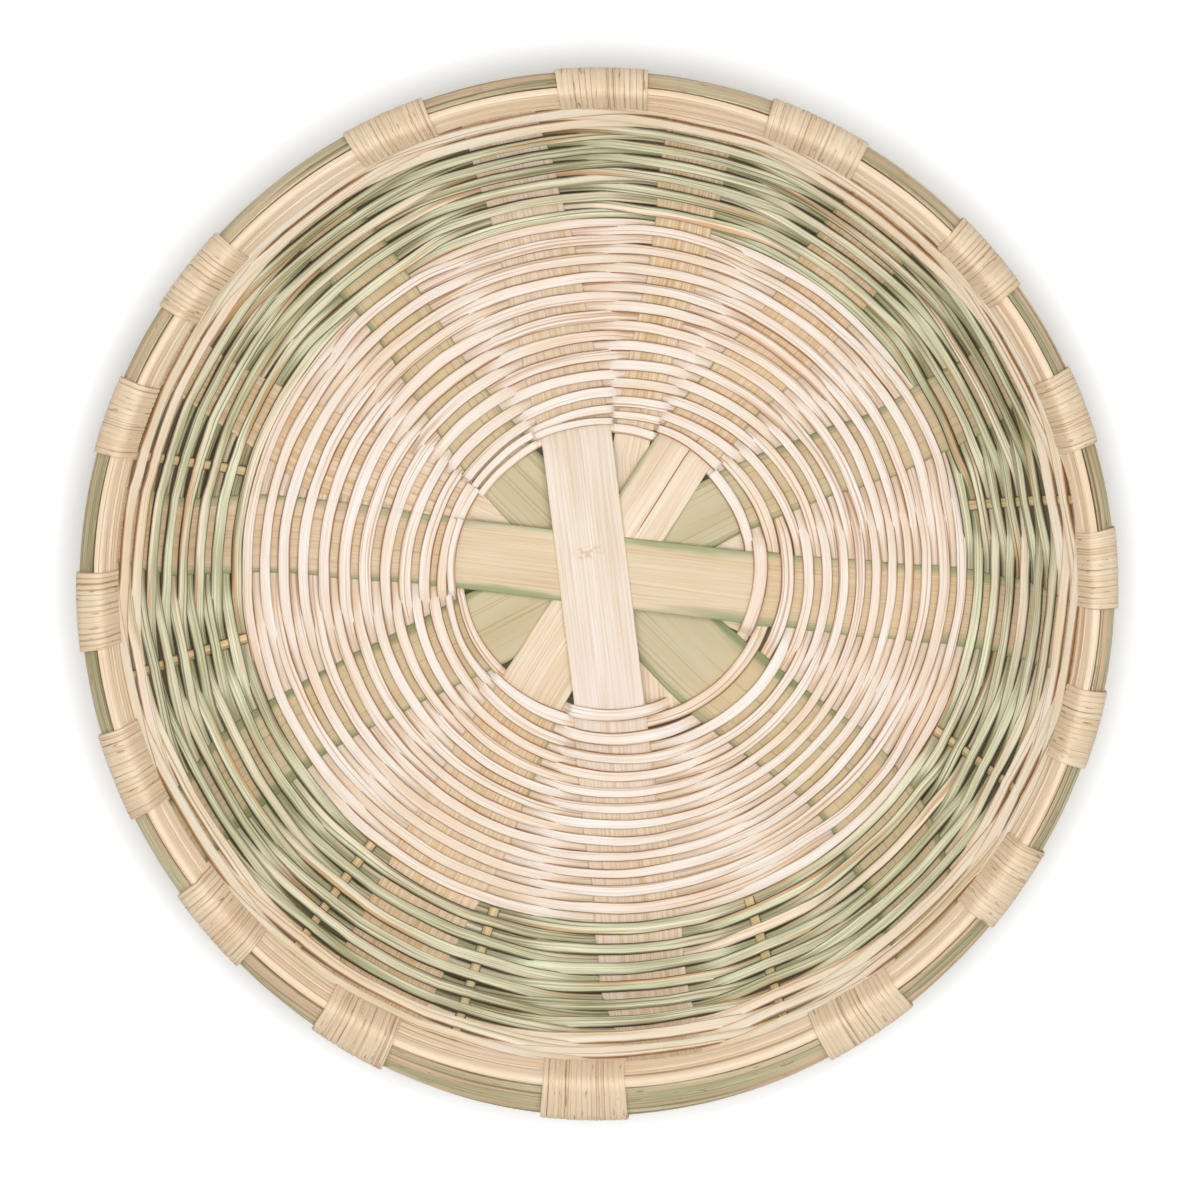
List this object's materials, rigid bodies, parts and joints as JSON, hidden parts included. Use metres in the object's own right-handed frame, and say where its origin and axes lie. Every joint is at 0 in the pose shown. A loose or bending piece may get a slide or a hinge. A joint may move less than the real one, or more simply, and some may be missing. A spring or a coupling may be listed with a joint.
{
  "type": "bamboo basket",
  "caption": "Shallow round woven bamboo basket with flat crossing slats, a green woven wall and a two-part hoop rim tied with wound cane.",
  "frame": {"origin": "middle of the basket's outer box, on the plane it stands on", "axes": "+Z up through the mouth, +X right and +Y up in the picture, which looks straight down"},
  "size_m": [0.351, 0.3562, 0.0565],
  "materials": {
    "slat_straw": "split bamboo, matt, fine grain",
    "slat_green": "split bamboo with some green skin, matt",
    "pale_cane": "peeled bamboo strip, matt",
    "green_cane": "bamboo strip with its green skin, low sheen",
    "hoop_straw": "split bamboo, matt",
    "hoop_green": "bamboo skin, low sheen",
    "binding_cane": "fine split cane, low sheen"
  },
  "bodies": {
    "root": {"cross_slat_top": "slat_straw", "cross_slat_second": "slat_straw", "diagonal_slat_pale": "slat_straw", "diagonal_slat_green": "slat_green", "diagonal_slat_bottom": "slat_green", "half_slat_back": "slat_straw", "half_slat_left": "slat_straw", "thin_stake_right": "slat_straw", "thin_stake_left_back": "slat_straw", "thin_stake_left": "slat_straw", "thin_stake_front_left": "slat_straw", "thin_stake_front": "slat_straw", "thin_stake_front_right": "slat_straw", "thin_stake_right_front": "slat_straw", "base_weaver_1": "pale_cane", "base_weaver_2": "pale_cane", "base_weaver_3": "pale_cane", "base_weaver_4": "pale_cane", "wall_weaver_1": "green_cane", "wall_weaver_2": "green_cane", "wall_weaver_3": "green_cane", "wall_weaver_4": "green_cane", "wall_weaver_5": "green_cane", "wall_weaver_6": "green_cane", "border_weaver_1": "pale_cane", "border_weaver_2": "pale_cane", "inner_hoop_lower": "hoop_straw", "inner_hoop_upper": "hoop_straw", "outer_hoop": "hoop_green", "rim_binding_01": "binding_cane", "rim_binding_02": "binding_cane", "rim_binding_03": "binding_cane", "rim_binding_04": "binding_cane", "rim_binding_05": "binding_cane", "rim_binding_06": "binding_cane", "rim_binding_07": "binding_cane", "rim_binding_08": "binding_cane", "rim_binding_09": "binding_cane", "rim_binding_10": "binding_cane", "rim_binding_11": "binding_cane", "rim_binding_12": "binding_cane", "rim_binding_13": "binding_cane", "rim_binding_14": "binding_cane", "rim_binding_15": "binding_cane", "rim_binding_16": "binding_cane"}
  },
  "joints": []
}
